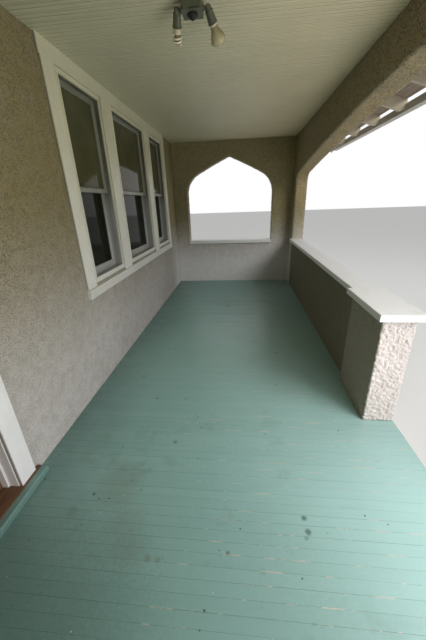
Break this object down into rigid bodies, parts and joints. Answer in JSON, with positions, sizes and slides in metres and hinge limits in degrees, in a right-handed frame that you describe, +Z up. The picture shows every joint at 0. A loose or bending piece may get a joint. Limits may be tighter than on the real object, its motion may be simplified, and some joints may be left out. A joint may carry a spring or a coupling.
{
  "type": "front porch",
  "caption": "Covered front porch in roughcast with four-centred arches, low capped walls, a boarded floor and ceiling, and its piece of house wall with window and door.",
  "frame": {"origin": "middle of the whole porch in plan, at ground level", "axes": "+X out from the house towards the steps, +Y along the porch to the end with the window, +Z up"},
  "size_m": [3.546, 8.906, 4.2695],
  "materials": {
    "roughcast": "coarse roughcast render",
    "floor_paint": "worn satin paint on narrow boards",
    "cap_paint": "white masonry paint",
    "ceiling_paint": "satin paint on beaded boards",
    "trim_paint": "satin trim paint",
    "sash_paint": "satin paint, a little grey",
    "glass": "clear window glass, dark behind",
    "door_wood": "varnished wood",
    "sill_wood": "worn brown stain",
    "roof_boards": "weathered boards",
    "rafter_paint": "matt paint",
    "roof_covering": "granulated shingles",
    "gutter_metal": "baked enamel, a little dirty",
    "lamp_metal": "grey enamel",
    "bulb_glass": "frosted glass"
  },
  "bodies": {
    "root": {"barge_boards": "trim_paint", "ceiling": "ceiling_paint", "door_casing": "trim_paint", "door_frame": "trim_paint", "door_sill": "sill_wood", "door_sill_nosing": "floor_paint", "end_sill_caps": "cap_paint", "far_end_arch_head": "roughcast", "far_end_corner_pier": "roughcast", "far_end_house_pier": "roughcast", "far_end_knee_wall": "roughcast", "far_pedestal": "roughcast", "front_arch": "roughcast", "front_door": "door_wood", "front_foundation": "roughcast", "front_knee_wall": "roughcast", "gutter": "gutter_metal", "house_foundation": "roughcast", "house_wall_below_window": "roughcast", "house_wall_far": "roughcast", "house_wall_middle": "roughcast", "house_wall_near": "roughcast", "house_wall_over_door": "roughcast", "house_wall_top": "roughcast", "knee_wall_caps": "cap_paint", "lamp_bulbs": "bulb_glass", "lamp_holders": "lamp_metal", "light_box": "lamp_metal", "lower_sashes": "sash_paint", "near_end_arch_head": "roughcast", "near_end_corner_pier": "roughcast", "near_end_house_pier": "roughcast", "near_end_knee_wall": "roughcast", "near_knee_wall": "roughcast", "near_pedestal": "roughcast", "pedestal_caps": "cap_paint", "porch_floor": "floor_paint", "rafters": "rafter_paint", "roof_covering": "roof_covering", "roof_deck": "roof_boards", "upper_sashes": "sash_paint", "window_casing": "trim_paint", "window_frame": "trim_paint", "window_glass": "glass", "window_sub_sill": "trim_paint"}
  },
  "joints": []
}
